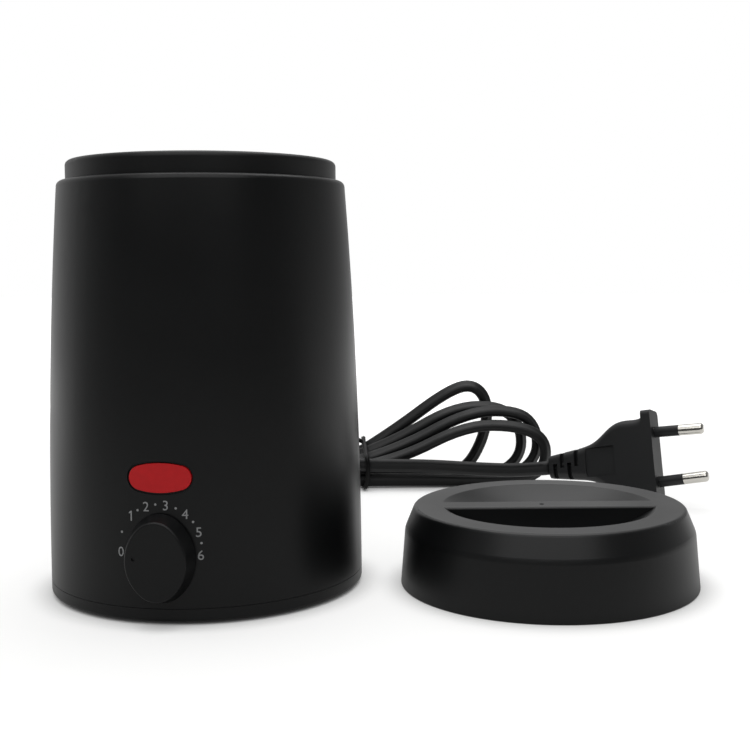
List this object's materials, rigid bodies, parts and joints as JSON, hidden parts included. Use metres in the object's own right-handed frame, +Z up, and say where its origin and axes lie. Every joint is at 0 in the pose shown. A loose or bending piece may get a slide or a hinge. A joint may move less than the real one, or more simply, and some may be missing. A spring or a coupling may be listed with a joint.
{
  "type": "wax warmer",
  "caption": "Round electric wax warmer with a front dial and lamp, a lift-out pot with a bail, a loose lid with a finger bar, and a tied mains cord with its plug.",
  "frame": {"origin": "on the table, at the middle of the foot ring that the pot stands on", "axes": "+Z is up along the pot's axis, -Y is the front with the dial, +X is towards the lid"},
  "size_m": [0.2222, 0.2165, 0.1201],
  "materials": {
    "black_abs": "satin moulded",
    "black_collar": "satin moulded",
    "black_lid": "satin moulded",
    "black_knob": "satin moulded",
    "red_lens": "translucent, polished",
    "foot_rubber": "matt",
    "zinc_steel": "zinc plated",
    "spun_aluminium": "spun",
    "bright_steel": "bright drawn",
    "mica_band": "plain",
    "fibre_sleeve": "felted",
    "brass": "plain",
    "steatite": "unglazed",
    "bimetal": "plain",
    "white_nylon": "satin",
    "lamp_glass": "clear",
    "cord_pvc": "satin",
    "lead_silicone": "satin",
    "plug_pvc": "satin moulded",
    "nickel_brass": "nickel plated",
    "tie_vinyl": "satin"
  },
  "bodies": {
    "housing": {"outer_shell": "black_abs", "base_cover": "black_abs", "foot_ring": "foot_rubber", "base_screws": "zinc_steel", "rim_collar": "black_collar", "heating_well": "spun_aluminium", "heater_band": "mica_band", "heater_straps": "bright_steel", "strap_screws": "zinc_steel", "insulation_sleeve": "fibre_sleeve", "thermal_fuse": "white_nylon", "fuse_clip": "bright_steel", "thermostat_bush": "brass", "thermostat_nut": "brass", "thermostat_plate": "zinc_steel", "thermostat_beads": "steatite", "contact_leaves": "brass", "bimetal_strip": "bimetal", "thermostat_rivet": "zinc_steel", "indicator_lens": "red_lens", "lamp_holder": "white_nylon", "neon_lamp": "lamp_glass", "cord_gland": "cord_pvc", "supply_tail": "cord_pvc", "supply_cores": "lead_silicone", "cord_clamp": "white_nylon", "clamp_screws": "zinc_steel", "terminal_block": "white_nylon", "terminal_screws": "zinc_steel", "live_lead": "lead_silicone", "neutral_lead": "lead_silicone", "fuse_leads": "lead_silicone", "lamp_leads": "lead_silicone", "cord_lead": "cord_pvc", "cord_hank": "cord_pvc", "cord_tail": "cord_pvc", "cord_tie": "tie_vinyl", "plug_body": "plug_pvc", "plug_pins": "nickel_brass", "pin_sleeves": "plug_pvc"},
    "dial": {"dial_knob": "black_knob", "thermostat_shaft": "brass"},
    "lid": {"lid": "black_lid"},
    "wax_pot": {"wax_pot": "spun_aluminium"},
    "bail": {"bail_handle": "bright_steel"}
  },
  "joints": [
    {"name": "dial_turn", "type": "hinge", "parent": "housing", "child": "dial", "pos_m": [0, -0.0439, 0.0206], "axis": [0, 1, 0], "range_deg": [0, 217]},
    {"name": "lid_lift", "type": "slide", "parent": "housing", "child": "lid", "axis": [0, 0, 1], "range_m": [0, 0.13]},
    {"name": "pot_lift", "type": "slide", "parent": "housing", "child": "wax_pot", "axis": [0, 0, 1], "range_m": [0, 0.085]},
    {"name": "bail_swing", "type": "hinge", "parent": "wax_pot", "child": "bail", "pos_m": [0, 0, 0.11565], "axis": [1, 0, 0], "range_deg": [0, 180]}
  ]
}
